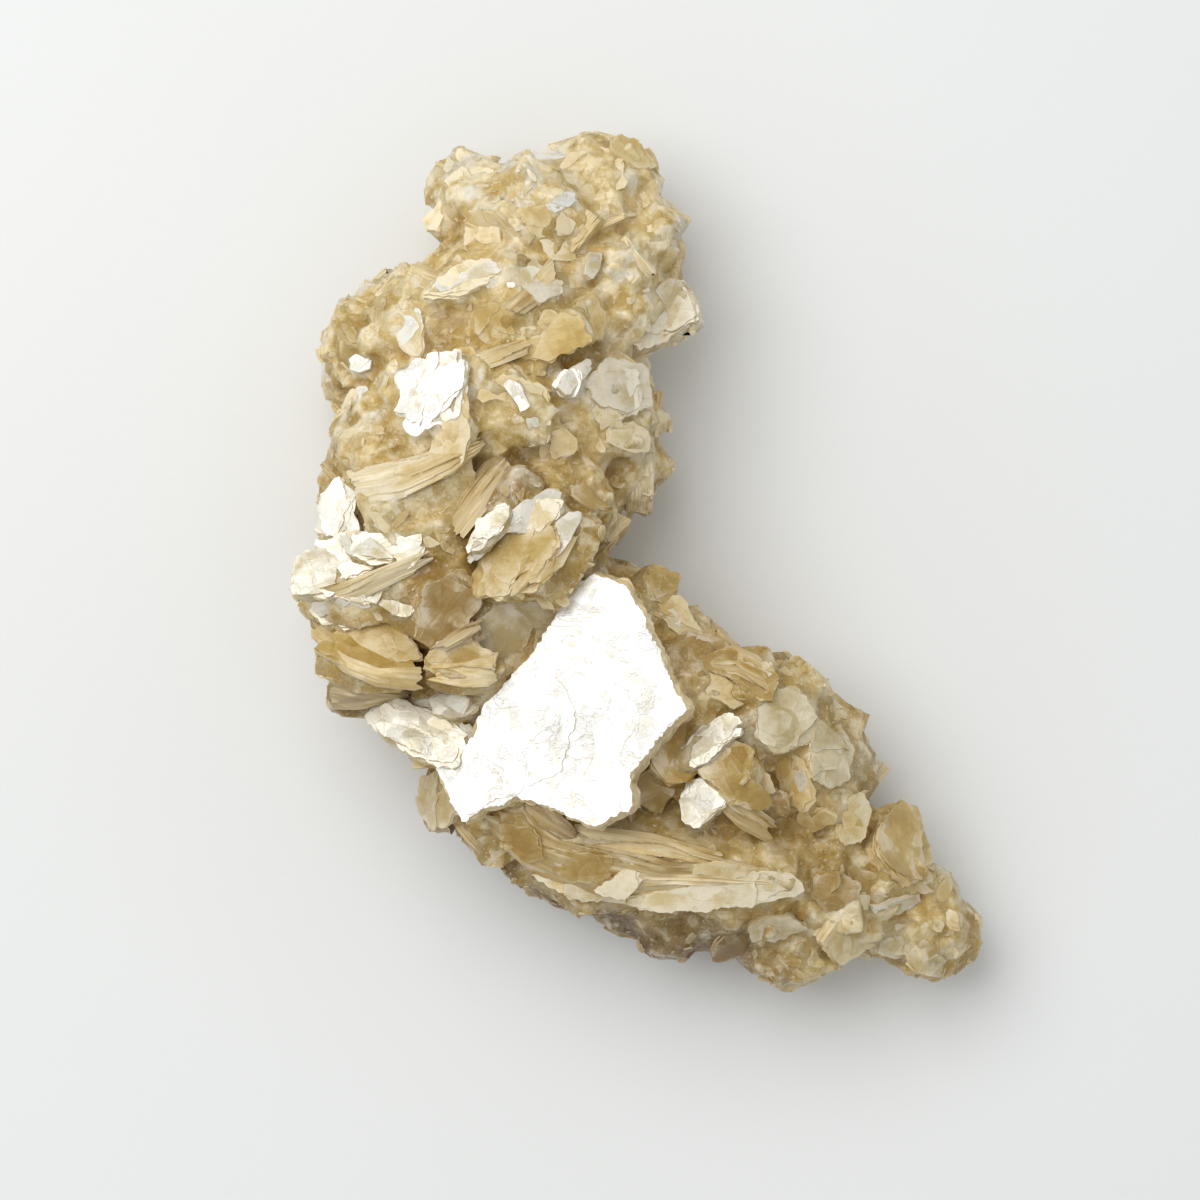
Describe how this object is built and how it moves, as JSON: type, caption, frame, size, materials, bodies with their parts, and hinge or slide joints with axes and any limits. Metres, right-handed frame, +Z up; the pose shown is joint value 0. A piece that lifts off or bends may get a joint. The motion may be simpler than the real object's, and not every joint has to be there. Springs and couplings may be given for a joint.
{
  "type": "mica crystal cluster",
  "caption": "Curved cluster of intergrown flat-faced mica books on a lumpy mass, lying on its flat broken back.",
  "frame": {"origin": "under the middle of the cluster's box, on the surface that it rests on", "axes": "+Z up, away from the resting face, +Y from the tapered tail's side towards the blunt head, +X towards the side the tail points to"},
  "size_m": [0.0841, 0.1065, 0.0399],
  "materials": {
    "mica": "pearly cleavage faces, silver-white to honey gold, on a granular golden-brown mass"
  },
  "bodies": {
    "root": {"mica_cluster": "mica"}
  },
  "joints": []
}
